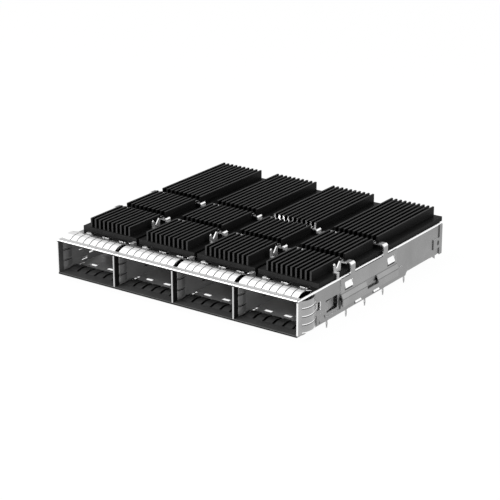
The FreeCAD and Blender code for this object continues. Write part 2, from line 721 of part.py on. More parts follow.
def make_heat_sink(index):
    """One extruded heat sink: base, ten fins cut into three blocks, and the pad below."""
    body = new_body("heat_sink_%d" % (index + 1))
    middle = port_centre(index)
    half = size("base_width") / 2
    front = size("base_front")
    base = rectangle(middle - half, middle + half, front, DEPTH + size("base_overhang"))
    pad(body, draw(body, "XY_Plane", [base], COVER_TOP, "Base"), size("base_thick"), "BasePad")
    left = middle - size("fin_block") / 2
    fin = rectangle(left, left + size("fin_thick"), size("fins_front"),
                    DEPTH + size("fins_overhang"))
    sketch = draw(body, "XY_Plane", [fin], BASE_TOP, "Fin")
    first = pad(body, sketch, size("fin_height"), "FinPad")
    repeat(body, first, sketch, "H_Axis", size("fin_block") - size("fin_thick"), FINS, "Fins")
    half_slot = size("slot_width") / 2
    slots = []
    for bar in (size("bar_first"), size("bar_second")):
        slots.append(rectangle(middle - half, middle + half, bar - half_slot, bar + half_slot))
    sketch = draw(body, "XY_Plane", slots, BASE_TOP + size("fin_height"), "Slots")
    pocket(body, sketch, size("fin_height"), "SlotsCut")
    half = size("pedestal_width") / 2
    front = size("pedestal_front")
    foot = rectangle(middle - half, middle + half, front, front + size("pedestal_length"))
    reach = SHEET + size("pedestal_reach")
    sketch = draw(body, "XY_Plane", [foot], COVER_TOP - reach, "Pedestal")
    pad(body, sketch, reach, "PedestalPad")
    return body


# The grounding strips: each grips the front edge of a sheet, with fingers on both faces

OUTER_BOW = [(0, 0), (0.25, 0.82), (0.6, 0.97), (1, 0.1)]
INNER_BOW = [(0, 0), (0.45, 1), (1, 0.1)]


def finger_path(bow, rise, tip, level, hand):
    """Corners of one bowed finger from its foot to its tip, on one face of the sheet."""
    foot = size("finger_foot").value
    run = tip - foot
    return [(foot + run * along, level + rise * share * hand) for along, share in bow]


def strip_shape(row, outer, inner, thick, rises):
    """A strip wrapped round a sheet whose outer face is at height 0, its row along +X.

    outer and inner hold the count, pitch and whole width of the fingers on each face, and
    the width of the slits between them.
    """
    metal = size("strip_metal").value
    away = metal / 2 + size("strip_grip").value
    over, under = away, -thick - away
    fold = (over - under) / 2
    bevel = fold / 2
    outer_rise, inner_rise, outer_tip, inner_tip = rises
    inner_path = finger_path(INNER_BOW, inner_rise, inner_tip, under, -1)
    outer_path = finger_path(OUTER_BOW, outer_rise, outer_tip, over, 1)
    hem = [(bevel - fold, under), (-fold, under + bevel), (-fold, over - bevel),
           (bevel - fold, over)]
    corners = inner_path[::-1] + hem + outer_path
    radii = [0] * (len(corners) - 2)

    def to_space(u, v):
        return FreeCAD.Vector(-row / 2, u, v)

    shape = bent_section(corners, radii, metal, to_space).extrude(FreeCAD.Vector(row, 0, 0))
    start = size("finger_foot").value
    beyond = max(outer_tip, inner_tip) + metal
    tall = max(outer_rise, inner_rise) + metal * 2
    cuts = []
    for fingers, low, high, side_start in ((outer, over - metal, over + tall, start),
                                           (inner, under - tall, under + metal, 0)):
        count, pitch, span, slit = fingers
        for step in range(1, count):
            x = (step - count / 2) * pitch
            cuts.append(block(x - slit / 2, x + slit / 2, start, beyond, low, high))
        for end in (-1, 1):
            edge, limit = span / 2 * end, (row / 2 + metal) * end
            cuts.append(block(min(edge, limit), max(edge, limit), side_start, beyond, low, high))
    return shape.cut(cuts)


def strip_rises(outer):
    """How far and how long the fingers bow on the outer and the inner face of a strip."""
    inner_rise, inner_tip = size("inner_rise").value, size("inner_tip").value
    if outer:
        return size("finger_rise").value, inner_rise, size("finger_tip").value, inner_tip
    return inner_rise, inner_rise, inner_tip, inner_tip


def make_strips():
    """Strips on the cover, the floor, both side walls and each divider."""
    thick = SHEET.value
    pitch, height = size("port_pitch").value, size("port_height").value
    finger, inner = size("finger_pitch").value, size("inner_pitch").value
    slit = size("finger_slit").value
    layer = size("strip_metal").value + size("strip_grip").value
    row = pitch - size("strip_metal").value
    mouth = strip_shape(row, (OUTER_FINGERS, finger, OUTER_FINGERS * finger, slit),
                        (INNER_FINGERS, inner, INNER_FINGERS * inner, slit), thick,
                        strip_rises(True))
    flat = FreeCAD.Rotation()
    turned = FreeCAD.Rotation(FreeCAD.Vector(0, 1, 0), 180)
    for index in range(PORTS):
        x = port_centre(index).value
        above = FreeCAD.Vector(x, 0, COVER_TOP.value)
        shape_piece("top_spring_strip_%d" % (index + 1), mouth, FreeCAD.Placement(above, flat))
        below = FreeCAD.Vector(x, 0, 0)
        shape_piece("bottom_spring_strip_%d" % (index + 1), mouth,
                    FreeCAD.Placement(below, turned))
    row = height - layer * 2
    level = (FLOOR_TOP + size("port_height") / 2).value
    clear = height - (layer + size("inner_rise").value) * 2 - slit
    within = (WALL_FINGERS, inner, clear, slit)
    side = strip_shape(row, (SIDE_FINGERS, row / SIDE_FINGERS, row, size("side_slit").value),
                       within, thick, strip_rises(True))
    for name, x, angle in (("right", WALL_OUT.value, 90), ("left", -WALL_OUT.value, -90)):
        spin = FreeCAD.Rotation(FreeCAD.Vector(0, 1, 0), angle)
        shape_piece("side_spring_strip_" + name, side,
                    FreeCAD.Placement(FreeCAD.Vector(x, 0, level), spin))
    wall = strip_shape(row, within, within, thick, strip_rises(False))
    spin = FreeCAD.Rotation(FreeCAD.Vector(0, 1, 0), 90)
    for index in range(PORTS - 1):
        x = divider_place(index).value + thick / 2
        shape_piece("divider_spring_%d" % (index + 1), wall,
                    FreeCAD.Placement(FreeCAD.Vector(x, 0, level), spin))


# The clip: two side plates joined by two cross bars that press on the heat sinks

def bar_path():
    """Corners and bend radii of a cross bar, from the left side plate to the right one.

    Over each heat sink the bar falls from its crest to the base; between two heat sinks it
    dips through a valley.
    """
    metal = size("clip_metal").value
    wall = FLANGE_IN.value + metal / 2
    foot = size("joggle_high").value + metal
    crest = (COVER_TOP + size("crest_height")).value - metal / 2
    seat = BASE_TOP.value + metal / 2
    valley = seat + size("valley_room").value
    turn = size("crest_bend").value - metal / 2
    leg, arm, rest = (size(name).value for name in ("leg_place", "arm_place", "seat_half"))
    cut = size("leg_bend").value
    path = [(-wall, foot, 0), (-wall, crest, turn)]
    for index in range(PORTS):
        middle = port_centre(index).value
        if index > 0:
            path += [(middle - leg, valley, 0), (middle - leg, crest - cut, 0),
                     (middle - leg + cut, crest, 0)]
        path += [(middle - arm, crest, 0), (middle - rest, seat, 0),
                 (middle + rest, seat, 0), (middle + arm, crest, 0)]
        if index < PORTS - 1:
            path += [(middle + leg - cut, crest, 0), (middle + leg, crest - cut, 0),
                     (middle + leg, valley, 0)]
    return path + [(wall, crest, turn), (wall, foot, 0)]


def plate_path(hand):
    """Corners of a side plate from the cover's edge down over the outward step."""
    metal = size("clip_metal").value
    wall = FLANGE_IN.value + metal / 2
    low = wall + size("joggle_step").value
    return [(wall * hand, COVER_UNDER.value), (wall * hand, size("joggle_high").value),
            (low * hand, size("joggle_low").value), (low * hand, size("clip_low").value)]


def make_clip():
    """The whole clip as one stamped sheet."""
    metal = size("clip_metal").value

    def to_space(u, v):
        return FreeCAD.Vector(u, 0, v)

    front, back = size("clip_front").value, size("clip_back").value
    along = FreeCAD.Vector(0, back - front, 0)
    pieces = []
    for hand in (1, -1):
        plate = bent_section(plate_path(hand), [0, 0], metal, to_space).extrude(along)
        plate.translate(FreeCAD.Vector(0, front, 0))
        pieces.append(plate)
    path = bar_path()
    width = size("bar_width").value
    corners = [(u, v) for u, v, radius in path]
    radii = [radius for u, v, radius in path[1:-1]]
    bar = bent_section(corners, radii, metal, to_space).extrude(FreeCAD.Vector(0, width, 0))
    for place in (size("bar_first").value, size("bar_second").value):
        one = bar.copy()
        one.translate(FreeCAD.Vector(0, place - width / 2, 0))
        pieces.append(one)
    for index in range(PORTS):
        pieces += make_fork(port_centre(index).value)
    whole = pieces[0].fuse(pieces[1:]).removeSplitter()
    shape_piece("heat_sink_clip", whole.cut(clip_windows()))


def make_fork(middle):
    """An upright fork at a heat sink's right edge, its arm to the front bar, and its foot."""
    metal = size("clip_metal").value
    low = BASE_TOP.value + metal / 10
    high = BASE_TOP.value + size("fork_height").value
    notch = BASE_TOP.value + size("notch_low").value
    front = size("fork_front").value
    back = front + size("fork_width").value
    prong, arm = size("prong_width").value, size("arm_width").value
    crest = (COVER_TOP + size("crest_height")).value
    bar = size("bar_first").value - size("bar_width").value / 2 + metal
    centre = (front + back) / 2
    slope = prong / 2
    corners = [(front, low), (back, low), (back, high - arm), (bar, crest - arm - metal / 2),
               (bar, crest - metal / 2), (back - slope, high), (back - prong, high - slope),
               (centre + slope / 2, notch + slope), (centre - slope / 2, notch),
               (front + prong, notch + slope), (front + prong, high - slope),
               (front + slope, high), (front, high - slope)]
    x = middle + size("leg_place").value - metal / 2

    def to_space(u, v):
        return FreeCAD.Vector(x, u, v)

    plate = prism(corners, to_space, FreeCAD.Vector(metal, 0, 0))
    edge = middle + (size("base_width") / 2 + size("foot_room")).value
    end = front + size("foot_length").value
    shelf = block(x, edge + metal, front, end, low, low + metal)
    foot = block(edge, edge + metal, front, end, COVER_TOP.value + metal / 10, low + metal)
    return [plate, shelf, foot]


def clip_windows():
    """Windows of both side plates: one round each clip lance, and one middle opening."""
    wall = FLANGE_IN.value
    far = wall + size("joggle_step").value + size("clip_metal").value * 3
    room = size("tail_room").value
    middle = size("clip_window").value
    reach = size("clip_window_length").value / 2
    cuts = []
    for hand in (1, -1):
        x_low, x_high = min(wall * hand, far * hand), max(wall * hand, far * hand)
        for place, low, high, length in CLIP_LANCES:
            half = length.value / 2 + room
            cuts.append(block(x_low, x_high, place.value - half, place.value + half,
                              low.value - room * 5, high.value + SHEET.value + room))
        cuts.append(block(x_low, x_high, middle - reach, middle + reach,
                          size("clip_window_low").value, size("clip_window_high").value))
    return cuts


def build_all():
    """Every piece of the cage."""
    make_cover()
    make_floor()
    for index in range(PORTS - 1):
        make_divider(index)
    make_back_panel()
    for index in range(PORTS):
        make_heat_sink(index)
    make_strips()
    make_clip()
    doc.recompute()


def write_parts():
    """Check every object, then write one file for each piece."""
    for item in doc.Objects:
        if "Invalid" in item.State or "Error" in item.State:
            raise RuntimeError("%s failed: %s" % (item.Name, item.State))
    pieces = [item for item in doc.Objects
              if item.TypeId in ("PartDesign::Body", "Part::Feature")]
    for piece in pieces:
        if piece.Shape.isNull() or not piece.Shape.isValid() or not piece.Shape.Solids:
            raise RuntimeError("%s has no valid solid" % piece.Label)
    os.makedirs("parts", exist_ok=True)
    for piece in pieces:
        piece.Shape.exportStep("parts/%s.step" % piece.Label)
        print("%-24s solids %2d  volume %9.3f  faces %4d" % (
            piece.Label, len(piece.Shape.Solids), piece.Shape.Volume, len(piece.Shape.Faces)))


build_all()
write_parts()
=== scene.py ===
import math

import bmesh
import bpy
from mathutils import Matrix, Vector


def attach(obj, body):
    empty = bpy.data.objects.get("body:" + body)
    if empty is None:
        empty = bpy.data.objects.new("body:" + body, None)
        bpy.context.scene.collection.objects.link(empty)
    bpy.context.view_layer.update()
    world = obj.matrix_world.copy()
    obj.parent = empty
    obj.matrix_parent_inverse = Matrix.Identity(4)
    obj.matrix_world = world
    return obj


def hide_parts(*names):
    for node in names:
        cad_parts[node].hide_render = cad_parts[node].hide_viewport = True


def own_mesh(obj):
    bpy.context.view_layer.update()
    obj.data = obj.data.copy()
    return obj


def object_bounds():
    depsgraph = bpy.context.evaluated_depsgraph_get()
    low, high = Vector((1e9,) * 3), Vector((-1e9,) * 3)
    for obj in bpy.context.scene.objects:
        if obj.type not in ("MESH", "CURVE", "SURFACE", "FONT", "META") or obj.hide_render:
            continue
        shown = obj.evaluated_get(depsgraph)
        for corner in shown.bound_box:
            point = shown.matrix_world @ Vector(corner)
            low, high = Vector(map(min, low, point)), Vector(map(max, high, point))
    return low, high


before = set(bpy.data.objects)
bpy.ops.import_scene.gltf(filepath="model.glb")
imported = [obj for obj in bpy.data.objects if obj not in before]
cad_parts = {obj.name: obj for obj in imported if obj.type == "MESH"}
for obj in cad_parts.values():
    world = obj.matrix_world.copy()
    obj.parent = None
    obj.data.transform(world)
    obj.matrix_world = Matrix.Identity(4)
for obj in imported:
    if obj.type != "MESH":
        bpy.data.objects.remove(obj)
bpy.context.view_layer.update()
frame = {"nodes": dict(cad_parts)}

# Sizes and places on the object are in millimetres, and those of the stage in metres
MM = 0.001

# The camera, fitted to the photograph with the port pitch as its scale
CAMERA_PLACE = Vector((251.644, -321.618, 164.582)) * MM
CAMERA_AZIMUTH = math.radians(35.2862)
CAMERA_ELEVATION = math.radians(20.2033)
CAMERA_ROLL = math.radians(-0.1384)
FOCAL_PIXELS = 1734.32
PHOTO_WIDTH = 500
SENSOR = 36

# The sheets, as the source has them: z of their upper faces and x of the walls' outer faces.
# Each x here is counted from the middle both ways.
PORTS = 4
PITCH = 19
SHEET = 0.25
PORT_HEIGHT = 8.9
FLOOR_TOP = SHEET
COVER_TOP = SHEET * 2 + PORT_HEIGHT
WALL_OUT = 38.125

# Least share of a face's normal along an axis, by how the face stands to the axis
LEVEL = 0.99
SQUARE = 0.95
STEEP = 0.6
FACING = 0.5
LEANING = 0.2

# The cover: z of its underside and, just under it, of its upper face; x of what lies between
# its walls; y where the tabs on the dividers end; and the hooks along the walls' lower edges
COVER_INSIDE = 8
COVER_SKIN = COVER_TOP - 0.05
BETWEEN_WALLS = 37.4
WALLS = 37.5
TABS_END = 12
HOOKS_TOP = 2.6
HOOKS_START = 15

# The floor: its underside, its flanges and their ears, and the slits beside each divider
FLOOR_SKIN = 0.1
FLANGES = 37.6
EARS = 37.9
EARS_FOOT = 0.4
SLITS_WIDTH = 2
SLITS_START, SLITS_END = 6, 10

# The back panel
PANEL_FRONT, PANEL_BACK = 69.7, 69.9
PANEL_SIDE = 38.1

# The clip: x of its side plates and of their outer faces, their top and the top of their
# lower lances, and y where the forks end and where the middle opening starts
PLATES_IN, PLATES_OUT = 38.2, 38.3
PLATES_TOP = 9.45
LANCES_TOP = 2
FORKS_END = 23.2
OPENING_START = 30

# Bends of the outward step in the side plates, the top of the step's front edge, and half
# the width of the bands along the bends that are painted dark as shade
STEP_BENDS = (5.1, 3.75)
STEP_TOP = 5.3
CREASE = 0.13

# Distance at which corners count as one, and angle under which two faces count as flat
TOUCH = 0.001 * MM
FLAT = math.radians(0.5)

# Boxes round a port's bows and its fork, counted from the port's middle
BOWS_BOX = ((-6.1, 20, 9), (6.1, 45, 14))
FORK_BOX = ((8.0, 17, 9), (9.6, 23.27, 14))

# The heat sinks: z of the fins' feet, sides and tops, and y of the front and back blocks
FINS_FOOT, FINS_SIDE, FINS_TOP = 10.7, 11, 13
BASE_FRONT, FINS_FRONT, BACK_BLOCK = 10.5, 11, 41
# Inset of the channels' painted shade from the outer fins, and the sink with white fin ends
CHANNEL_INSET = 0.1
WHITE_ENDS_SINK = 3

# The grounding strips: metal, the air under it, and the hem's steps round the sheet's edge
STRIP_METAL = 0.15
STRIP_GRIP = 0.02
HEM_STEPS = 8

# Steps of a finger's curve between two of its knots, and the edge that stays sharp in it
CURVE_STEPS = 5
SHARP = math.radians(40)

# Shapes of the fingers: foot, rise, tip and the bow between foot and tip. The inner ones,
# across the mouths and up the walls and dividers, bow less.
INNER_RISE = 0.38
INNER_BOW = [(0, 0), (0.45, 1), (1, 0.1)]
OUTER_SHAPE = (1.6, 0.85, 7.4, [(0, 0), (0.25, 0.82), (0.6, 0.97), (1, 0.1)])
MOUTH_SHAPE = (2.9, INNER_RISE, 7.3, INNER_BOW)
POST_SHAPE = (1.6, INNER_RISE, 5.0, INNER_BOW)

# Width of a band along the outer fingers' edges on the side walls, painted white as highlight
EDGE_HIGHLIGHT_WIDTH = 0.24

# Rows of fingers: pitch and slit, the outer row's wider first finger, the inner row's shift
# and ends, and in a post's row the middle finger's half and the room over and under the row
OUTER_FINGERS, OUTER_PITCH, OUTER_SLIT = 8, 2.17, 0.26
FIRST_EXTRA = 0.5
INNER_FINGERS, INNER_PITCH, INNER_SLIT = 6, 2.95, 0.7
INNER_SHIFT = 0.3
INNER_END = 8.85
SIDE_FINGERS, SIDE_SLIT = 4, 0.2
POST_HALF, POST_SLIT, POST_ROOM = 1.475, 0.6, 0.22

# Stretches that draw a texture out into lines across or along the cage, or along the fins,
# and the shares of a texture between which a ramp runs
ACROSS = (40, 900, 900)
ALONG = (900, 60, 900)
FIN_LINES = (1500, 60, 1500)
RAMP = (0.3, 0.7)

# Display level of the painted shadow on the floor under a strip, which ends where the strip does
STRIP_SHADOW_LEVEL = 14
STRIP_END = 7.6
STRIP_FADE = 0.5

# Strength of the light from all sides, the floor's size, its pale colour and the share of it
# that is plain white where it is seen, and the place that the lamps look at
SOFT_LIGHT = 0.55
FLOOR_SIZE = 6
FLOOR_COLOUR = (0.9, 0.9, 0.9, 1)
FLOOR_WHITE = 0.97
LAMP_AIM = Vector((0, 35 * MM, 5 * MM))


def srgb(level):
    """Linear value of a display level from 0 to 255."""
    share = level / 255
    return share / 12.92 if share <= 0.04045 else ((share + 0.055) / 1.055) ** 2.4


def grey(level):
    """A neutral colour at a display level."""
    return (srgb(level),) * 3 + (1,)


class Nodes:
    """A material's node tree, with short calls for the nodes that the finishes share."""

    def __init__(self, name):
        self.material = bpy.data.materials.new(name)
        self.material.use_nodes = True
        self.tree = self.material.node_tree
        self.shader = self.tree.nodes["Principled BSDF"]

    def add(self, kind, **settings):
        """A new node with its settings."""
        node = self.tree.nodes.new(kind)
        for key, value in settings.items():
            setattr(node, key, value)
        return node

    def link(self, source, target):
        """A link from one node's output to another's input."""
        self.tree.links.new(source, target)

    def set(self, name, value):
        """A value that is the same all over the surface."""
        self.shader.inputs[name].default_value = value

    def drive(self, name, source):
        """A value of the shader that follows a texture."""
        self.link(source, self.shader.inputs[name])

    def place(self, scale):
        """Object coordinates, stretched so that marks run along an axis."""
        coords = self.add("ShaderNodeTexCoord")
        mapping = self.add("ShaderNodeMapping")
        mapping.inputs["Scale"].default_value = scale
        self.link(coords.outputs["Object"], mapping.inputs["Vector"])
        return mapping.outputs["Vector"]

    def noise(self, stretch, scale, detail=3.0, rough=0.5):
        """A noise texture on the object, drawn out by a stretch."""
        noise = self.add("ShaderNodeTexNoise")
        noise.inputs["Scale"].default_value = scale
        noise.inputs["Detail"].default_value = detail
        noise.inputs["Roughness"].default_value = rough
        self.link(self.place(stretch), noise.inputs["Vector"])
        return noise.outputs["Fac"]

    def ramp(self, source, low, high):
        """A colour that follows a texture between two ends."""
        ramp = self.add("ShaderNodeValToRGB")
        for stop, place, colour in zip(ramp.color_ramp.elements, RAMP, (low, high)):
            stop.position = place
            stop.color = colour
        self.link(source, ramp.inputs["Fac"])
        return ramp.outputs["Color"]

    def gloss(self, source, low, high):
        """A roughness that follows a texture between two values."""
        self.drive("Roughness", self.ramp(source, (low,) * 3 + (1,), (high,) * 3 + (1,)))

    def bump(self, source, strength, distance):
        """Fine relief that follows a texture."""
        bump = self.add("ShaderNodeBump")
        bump.inputs["Strength"].default_value = strength
        bump.inputs["Distance"].default_value = distance
        self.link(source, bump.inputs["Height"])
        self.drive("Normal", bump.outputs["Normal"])


def plated_sheet(name, low, high, rough_low, rough_high, brush=ACROSS):
    """Rolled, plated sheet metal: fine rolling lines and faint clouds in its gloss."""
    nodes = Nodes(name)
    nodes.set("Metallic", 1.0)
    clouds = nodes.noise((1, 1, 1), 160.0, 2.0)
    nodes.drive("Base Color", nodes.ramp(clouds, grey(low), grey(high)))
    lines = nodes.noise(brush, 3.0, 4.0, 0.6)
    nodes.gloss(lines, rough_low, rough_high)
    nodes.bump(lines, 0.04, 0.00001)
    return nodes.material


def black_anodised(name, low, high, gloss):
    """Extruded, black anodised aluminium with faint lines along the fins."""
    nodes = Nodes(name)
    nodes.set("Metallic", 0.0)
    nodes.set("Specular IOR Level", gloss)
    lines = nodes.noise(FIN_LINES, 2.0, 3.0)
    nodes.drive("Base Color", nodes.ramp(lines, grey(low), grey(high)))
    nodes.gloss(lines, 0.38, 0.55)
    nodes.bump(lines, 0.10, 0.00002)
    return nodes.material


def inner_sheet(name, low, high, strip_shadow_to=None):
    """The satin faces inside the ports, which see little light, with shade and light painted into
    their colours.

    The sheet is painted dark as shadow from its front edge to the last argument, where a spring
    strip covers it.
    """
    nodes = Nodes(name)
    nodes.set("Metallic", 0.35)
    nodes.set("Specular IOR Level", 0.3)
    clouds = nodes.noise((1, 0.3, 1), 240.0, 3.0)
    colour = nodes.ramp(clouds, grey(low), grey(high))
    if strip_shadow_to:
        coords = nodes.add("ShaderNodeTexCoord")
        parts = nodes.add("ShaderNodeSeparateXYZ")
        nodes.link(coords.outputs["Object"], parts.inputs["Vector"])
        share = nodes.add("ShaderNodeMapRange")
        share.inputs["From Min"].default_value = (strip_shadow_to - STRIP_FADE) * MM
        share.inputs["From Max"].default_value = strip_shadow_to * MM
        nodes.link(parts.outputs["Y"], share.inputs["Value"])
        mix = nodes.add("ShaderNodeMix", data_type="RGBA")
        mix.inputs["A"].default_value = grey(STRIP_SHADOW_LEVEL)
        nodes.link(share.outputs["Result"], mix.inputs["Factor"])
        nodes.link(colour, mix.inputs["B"])
        colour = mix.outputs["Result"]
    nodes.drive("Base Color", colour)
    nodes.gloss(nodes.noise(ACROSS, 3.0, 4.0, 0.6), 0.42, 0.55)
    return nodes.material


def make_finishes():
    """Every finish by its name, each between two display levels."""
    return {
        "wall": plated_sheet("cage_sheet", 139, 148, 0.3, 0.38),
        "top": plated_sheet("cage_top", 120, 134, 0.08, 0.14),
        # painted highlight: cut edges, bends and small faces of the plating, painted near white
        "edge": plated_sheet("edge_painted_highlight", 244, 252, 0.3, 0.4),
        # painted shade: faces inside the ports and under the cover, darker than the sheet outside
        "inside": inner_sheet("cage_inside_painted_shade", 104, 116),
        # painted light on the ports' floor, lighter than their walls, and painted shadow under
        # the strips
        "floor": inner_sheet("cage_floor_painted_light_and_shadow", 176, 190, STRIP_END),
        "shade": inner_sheet("shaded_edge", 84, 98),
        # the strips' fingers: painted highlight on the front slopes, fading to painted light over
        # the crests
        "finger": plated_sheet("spring_strip", 250, 255, 0.25, 0.35, ALONG),
        "crest": plated_sheet("spring_crest_painted_light", 214, 224, 0.25, 0.35, ALONG),
        # painted shade on the fingers' backs, and light painted shade on the flat bands
        "back": plated_sheet("spring_back_painted_shade", 164, 178, 0.25, 0.35, ALONG),
        "band": plated_sheet("spring_band", 184, 196, 0.25, 0.35, ALONG),
        # painted shade on the side walls' fingers; painted light on the divider hems and bottom
        # strips' cut faces
        "side_finger": plated_sheet("side_spring", 158, 172, 0.22, 0.32),
        "post": plated_sheet("spring_post_painted_light", 206, 216, 0.3, 0.4),
        # painted shade on the strips' undersides, near black on their cut and hidden faces
        "under": inner_sheet("spring_under_painted_shade", 60, 70),
        "rim": inner_sheet("spring_rim_painted_shade", 12, 20),
        # painted light at the ends of the divider strips' fingers, painted shade on the fingers
        # in the ports
        "bend": inner_sheet("spring_bend_painted_light", 126, 140),
        "port_finger": inner_sheet("port_spring_painted_shade", 96, 108),
        "clip": plated_sheet("clip_steel", 146, 156, 0.24, 0.32),
        # the clip: painted light on its legs and lower front edges
        "leg": plated_sheet("clip_leg_painted_light", 176, 190, 0.3, 0.38),
        # painted reflection of the black sinks on the bars' flat faces, painted shade in the
        # forks' notches
        "bar": plated_sheet("clip_bar_painted_reflection_and_shade", 98, 124, 0.1, 0.16),
        # painted shade on the forks' front and right faces
        "fork": plated_sheet("clip_fork", 166, 184, 0.5, 0.6),
        # painted shade along the two bends of the side plates' step
        "crease": plated_sheet("clip_crease_painted_shade", 116, 126, 0.3, 0.38),
        # painted light on the upward slope of the side plates' step
        "joggle": plated_sheet("clip_joggle_painted_light", 154, 162, 0.3, 0.38),
        "black": black_anodised("heat_sink_black", 10, 16, 0.05),
        # painted shade in the channels between fins, painted light on fin tops, fin fronts and
        # the base's front
        "channel": black_anodised("heat_sink_channel", 2, 5, 0.02),
        "fin_top": black_anodised("heat_sink_fin_top", 33, 39, 0.06),
        "fin_front": black_anodised("heat_sink_front", 46, 54, 0.1),
        "base_front": black_anodised("heat_sink_base", 32, 40, 0.1),
        # white fin ends on one sink's back block
        "white_ends": plated_sheet("white_fin_end", 232, 244, 0.3, 0.4),
    }


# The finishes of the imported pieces, face by face

def paint_faces(piece, names, choose):
    """Give each face of a piece the finish whose place in the list is chosen for it."""
    mesh = piece.data
    mesh.materials.clear()
    for name in names:
        mesh.materials.append(FINISHES[name])
    for face in mesh.polygons:
        x, y, z = face.center / MM
        face.material_index = names.index(choose(x, y, z, face.normal))


def cover_face(x, y, z, normal):
    """Finish of one face of the cover: painted shade inside, under its tabs and its hooks,
    painted highlight on its edges.
    """
    if normal.z > SQUARE and z > COVER_SKIN:
        return "top"
    if normal.z < -SQUARE and z > COVER_INSIDE:
        return "inside"
    if z > COVER_TOP and (normal.z > LEANING or normal.y > LEANING):
        return "top"
    if abs(x) < BETWEEN_WALLS and y < TABS_END:
        return "inside" if z < COVER_TOP else "band"
    if abs(normal.x) > SQUARE and abs(x) > WALLS:
        return "wall" if normal.x * x > 0 else "inside"
    if z < HOOKS_TOP and abs(x) > WALL_OUT and abs(normal.y) < FACING:
        if normal.z < -LEANING:
            return "shade"
        return "wall" if y < HOOKS_START else "edge"
    return "edge"


def floor_face(x, y, z, normal):
    """Finish of one face of the floor: painted light on its top, painted shade on inner cut faces
    and ear fronts, painted highlight on other edges.
    """
    if normal.z > SQUARE and z < EARS_FOOT:
        return "floor"
    if normal.z < -SQUARE and z < FLOOR_SKIN:
        return "wall"
    if abs(normal.x) > STEEP and abs(x) > FLANGES:
        return "wall"
    if normal.y < -FACING and abs(x) > EARS and z > EARS_FOOT:
        return "shade"
    if abs(normal.z) < FACING and abs(x) < WALLS:
        by_divider = (x + PITCH * PORTS / 2) % PITCH < SLITS_WIDTH
        return "edge" if by_divider and SLITS_START < y < SLITS_END else "inside"
    return "edge"


def divider_face(x, y, z, normal):
    """Finish of one face of a divider: painted shade on its flat sides, painted highlight on its
    edges.
    """
    flat = abs(normal.x) > FACING and z < COVER_TOP - SHEET
    return "inside" if flat else "edge"


def panel_face(x, y, z, normal):
    """Finish of one face of the back panel: painted shade on its inner face and front-facing
    edges, painted highlight on other edges.
    """
    if normal.y > SQUARE and y > PANEL_BACK:
        return "wall"
    if normal.y < -SQUARE and y > PANEL_FRONT and abs(x) < PANEL_SIDE:
        return "inside"
    if abs(normal.x) > SQUARE and abs(x) > PANEL_SIDE:
        return "wall"
    if normal.y < -LEANING and abs(x) > PANEL_SIDE:
        return "shade"
    return "edge"


def clip_face(x, y, z, normal):
    """Finish of one face of the clip, with light and shade painted by where it stands and which
    way it faces.
    """
    if y < FORKS_END and abs(x) < PLATES_IN:
        if LEANING < normal.z < SQUARE:
            return "bar"
        return "fork" if normal.y < -FACING or normal.x > FACING else "edge"
    if z < PLATES_TOP and abs(x) > PLATES_IN and normal.y < -FACING:
        return "edge" if z > STEP_TOP or y > OPENING_START else "leg"
    if z < PLATES_TOP and abs(x) > PLATES_OUT and abs(normal.y) < FACING:
        # bands along the step's bends are painted dark as shade
        if any(abs(z - bend) < CREASE for bend in STEP_BENDS):
            return "crease"
        return "joggle" if normal.z > LEANING and z > LANCES_TOP else "clip"
    if abs(normal.y) > FACING or abs(x) < PLATES_IN and abs(normal.z) < SQUARE:
        return "edge"
    if abs(normal.x) > SQUARE:
        return "leg"
    return "bar" if normal.z > LEVEL or normal.z < 0 else "edge"


def sink_face(white_ends, low, high):
    """Finish of one face of a heat sink whose fins stand between low and high across it.

    One sink's back block has white fin ends; tops and fronts are painted light, channels shade.
    """
    def choose(x, y, z, normal):
        if normal.z > SQUARE and z > FINS_TOP:
            return "fin_top"
        if normal.y < -SQUARE and z > FINS_FOOT:
            if white_ends and y > BACK_BLOCK:
                return "white_ends"
            return "fin_front" if y < FINS_FRONT else "black"
        if normal.y < -SQUARE and y < BASE_FRONT:
            return "base_front"
        return "channel" if low < x < high and z > FINS_FOOT else "black"
    return choose


def fins_between(sink):
    """The lowest and highest place of a heat sink's fins across it."""
    places = [face.center.x / MM for face in sink.data.polygons
              if abs(face.normal.x) > SQUARE and face.center.z / MM > FINS_SIDE]
    return min(places) + CHANNEL_INSET, max(places) - CHANNEL_INSET


def paint_nodes():
    """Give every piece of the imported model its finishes."""
    nodes = frame["nodes"]
    paint_faces(nodes["cage_cover"], ["wall", "top", "edge", "inside", "shade", "band"],
                cover_face)
    paint_faces(nodes["floor_pan"], ["wall", "edge", "inside", "floor", "shade"], floor_face)
    paint_faces(nodes["back_panel"], ["wall", "edge", "inside", "shade"], panel_face)
    sink_names = ["black", "channel", "fin_top", "fin_front", "base_front", "white_ends"]
    for number in range(1, PORTS + 1):
        sink = nodes["heat_sink_%d" % number]
        paint_faces(sink, sink_names, sink_face(number == WHITE_ENDS_SINK, *fins_between(sink)))
    for number in range(1, PORTS):
        paint_faces(nodes["divider_%d" % number], ["edge", "inside"], divider_face)


# The clip, cut where it bends as the heat sinks rise

def port_middle(index):
    """Place of a port's middle across the cage."""
    return PITCH * (index - (PORTS - 1) / 2)


def at_port(index, box):
    """A box that is counted from a port's middle, at that port."""
    return [(port_middle(index) + x, y, z) for x, y, z in box]


def closed_copy(node):
    """A node's mesh with its faces joined at their shared corners."""
    mesh = bmesh.new()
    mesh.from_mesh(frame["nodes"][node].data)
    bmesh.ops.remove_doubles(mesh, verts=mesh.verts, dist=TOUCH)
    bmesh.ops.dissolve_limit(mesh, angle_limit=FLAT, verts=mesh.verts, edges=mesh.edges)
    data = bpy.data.meshes.new(node + "_copy")
    mesh.to_mesh(data)
    mesh.free()
    return data


